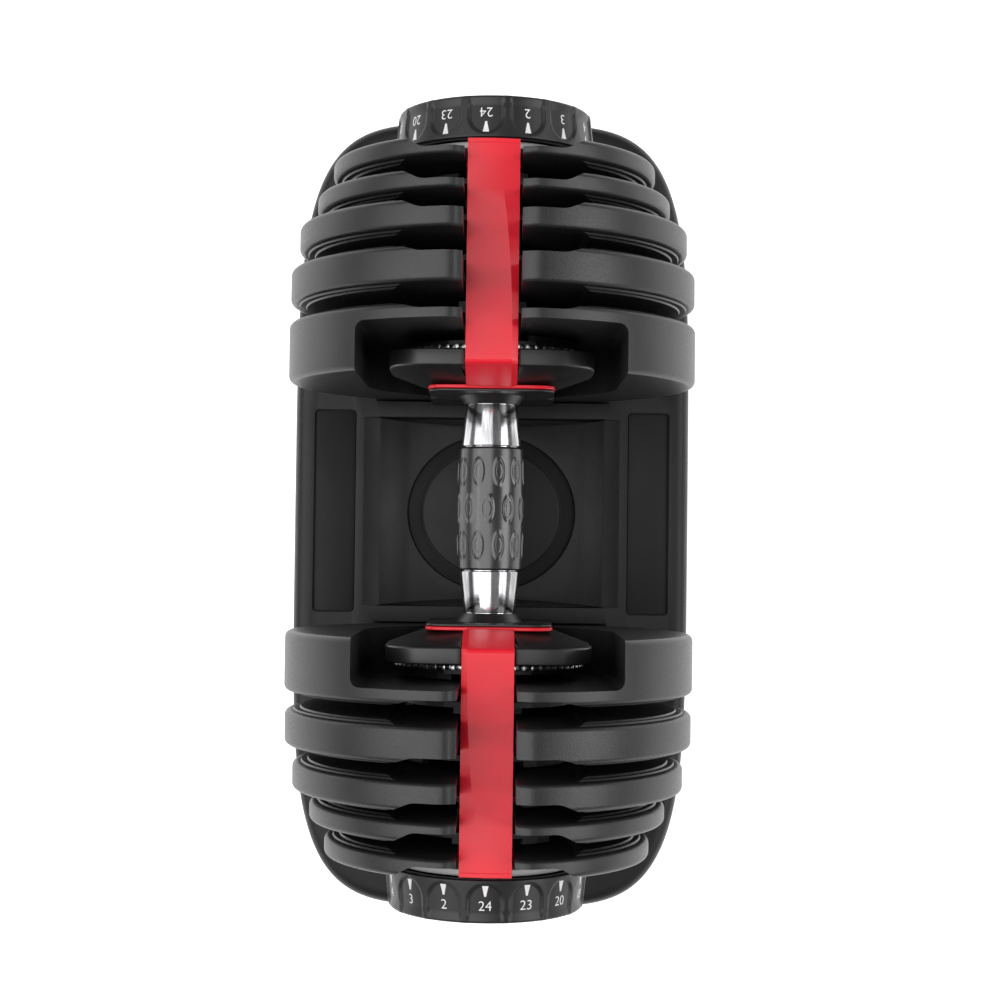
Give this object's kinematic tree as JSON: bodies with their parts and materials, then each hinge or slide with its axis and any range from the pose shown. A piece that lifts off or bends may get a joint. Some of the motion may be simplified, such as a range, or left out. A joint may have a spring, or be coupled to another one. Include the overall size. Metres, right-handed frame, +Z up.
{
  "type": "adjustable dumbbell",
  "caption": "Dial-adjustable dumbbell in its storage tray: slotted plates on a red strapped handle with a chrome and rubber grip and a numbered dial at each end.",
  "frame": {"origin": "on the floor, under the middle of the tray's box", "axes": "+Z up, +Y along the handle towards the far end, +X to the right of a person looking along +Y"},
  "size_m": [0.212, 0.4212, 0.2173],
  "materials": {
    "tray_plastic": "fine-grained black moulding",
    "foot_rubber": "plain rubber",
    "panel_gloss": "smooth black inlay",
    "badge_gloss": "smooth black disc, no print",
    "chrome": "polished",
    "steel": "zinc-plated, slightly brushed",
    "grip_rubber": "satin rubber with raised ovals",
    "red_paint": "satin red",
    "black_plastic": "satin black moulding",
    "disc_plastic": "black nylon",
    "grey_plastic": "light grey moulding",
    "dial_plastic": "satin black with white numbers",
    "plate_black": "metal core in a matte black moulded skin"
  },
  "bodies": {
    "tray": {"tray": "tray_plastic", "foot_1": "foot_rubber", "foot_2": "foot_rubber", "foot_3": "foot_rubber", "foot_4": "foot_rubber", "side_panel_left": "panel_gloss", "side_panel_right": "panel_gloss", "tray_badge": "badge_gloss", "release_post_far": "tray_plastic", "release_post_near": "tray_plastic"},
    "handle": {"handle_tube": "chrome", "handle_grip": "grip_rubber", "centre_rod": "steel", "collar_far": "black_plastic", "bracket_far": "red_paint", "index_housing_far": "black_plastic", "detent_spring_far": "steel", "lock_spring_far": "steel", "end_plate_far": "grey_plastic", "end_plate_screw_far": "steel", "dial_screw_far": "steel", "collar_near": "black_plastic", "bracket_near": "red_paint", "index_housing_near": "black_plastic", "detent_spring_near": "steel", "lock_spring_near": "steel", "end_plate_near": "grey_plastic", "end_plate_screw_near": "steel", "dial_screw_near": "steel"},
    "selector_far": {"index_wheel_far": "steel", "selector_hub_far": "steel", "selector_disc_1_far": "disc_plastic", "selector_disc_2_far": "disc_plastic", "selector_disc_3_far": "disc_plastic", "selector_disc_4_far": "disc_plastic", "selector_disc_5_far": "disc_plastic", "dial_far": "dial_plastic"},
    "lock_far": {"lock_slider_far": "steel"},
    "plate_1_far": {"plate_1_far": "plate_black"},
    "plate_2_far": {"plate_2_far": "plate_black"},
    "plate_3_far": {"plate_3_far": "plate_black"},
    "plate_4_far": {"plate_4_far": "plate_black"},
    "plate_5_far": {"plate_5_far": "plate_black"},
    "selector_near": {"index_wheel_near": "steel", "selector_hub_near": "steel", "selector_disc_1_near": "disc_plastic", "selector_disc_2_near": "disc_plastic", "selector_disc_3_near": "disc_plastic", "selector_disc_4_near": "disc_plastic", "selector_disc_5_near": "disc_plastic", "dial_near": "dial_plastic"},
    "lock_near": {"lock_slider_near": "steel"},
    "plate_1_near": {"plate_1_near": "plate_black"},
    "plate_2_near": {"plate_2_near": "plate_black"},
    "plate_3_near": {"plate_3_near": "plate_black"},
    "plate_4_near": {"plate_4_near": "plate_black"},
    "plate_5_near": {"plate_5_near": "plate_black"}
  },
  "joints": [
    {"name": "handle_lift", "type": "slide", "parent": "tray", "child": "handle", "axis": [0, 0, 1], "range_m": [0, 0.25]},
    {"name": "selector_turn_far", "type": "hinge", "parent": "handle", "child": "selector_far", "pos_m": [0, 0, 0.12], "axis": [0, 1, 0], "continuous": true},
    {"name": "lock_slide_far", "type": "slide", "parent": "handle", "child": "lock_far", "axis": [0, 0, 1], "range_m": [-0.0045, 0], "deforming": ["lock_spring_far"]},
    {"name": "plate_1_far_lift", "type": "slide", "parent": "tray", "child": "plate_1_far", "axis": [0, 0, 1], "range_m": [0, 0.25]},
    {"name": "plate_2_far_lift", "type": "slide", "parent": "tray", "child": "plate_2_far", "axis": [0, 0, 1], "range_m": [0, 0.25]},
    {"name": "plate_3_far_lift", "type": "slide", "parent": "tray", "child": "plate_3_far", "axis": [0, 0, 1], "range_m": [0, 0.25]},
    {"name": "plate_4_far_lift", "type": "slide", "parent": "tray", "child": "plate_4_far", "axis": [0, 0, 1], "range_m": [0, 0.25]},
    {"name": "plate_5_far_lift", "type": "slide", "parent": "tray", "child": "plate_5_far", "axis": [0, 0, 1], "range_m": [0, 0.25]},
    {"name": "selector_turn_near", "type": "hinge", "parent": "handle", "child": "selector_near", "pos_m": [0, 0, 0.12], "axis": [0, -1, 0], "continuous": true},
    {"name": "lock_slide_near", "type": "slide", "parent": "handle", "child": "lock_near", "axis": [0, 0, 1], "range_m": [-0.0045, 0], "deforming": ["lock_spring_near"]},
    {"name": "plate_1_near_lift", "type": "slide", "parent": "tray", "child": "plate_1_near", "axis": [0, 0, 1], "range_m": [0, 0.25]},
    {"name": "plate_2_near_lift", "type": "slide", "parent": "tray", "child": "plate_2_near", "axis": [0, 0, 1], "range_m": [0, 0.25]},
    {"name": "plate_3_near_lift", "type": "slide", "parent": "tray", "child": "plate_3_near", "axis": [0, 0, 1], "range_m": [0, 0.25]},
    {"name": "plate_4_near_lift", "type": "slide", "parent": "tray", "child": "plate_4_near", "axis": [0, 0, 1], "range_m": [0, 0.25]},
    {"name": "plate_5_near_lift", "type": "slide", "parent": "tray", "child": "plate_5_near", "axis": [0, 0, 1], "range_m": [0, 0.25]}
  ],
  "couplings": [
    {"joint": "lock_slide_far", "follows": "handle_lift", "ratio": -0.018},
    {"joint": "plate_1_far_lift", "follows": "handle_lift", "ratio": 1},
    {"joint": "plate_2_far_lift", "follows": "handle_lift", "ratio": 1},
    {"joint": "plate_3_far_lift", "follows": "handle_lift", "ratio": 1},
    {"joint": "plate_4_far_lift", "follows": "handle_lift", "ratio": 1},
    {"joint": "plate_5_far_lift", "follows": "handle_lift", "ratio": 1},
    {"joint": "lock_slide_near", "follows": "handle_lift", "ratio": -0.018},
    {"joint": "plate_1_near_lift", "follows": "handle_lift", "ratio": 1},
    {"joint": "plate_2_near_lift", "follows": "handle_lift", "ratio": 1},
    {"joint": "plate_3_near_lift", "follows": "handle_lift", "ratio": 1},
    {"joint": "plate_4_near_lift", "follows": "handle_lift", "ratio": 1},
    {"joint": "plate_5_near_lift", "follows": "handle_lift", "ratio": 1}
  ]
}
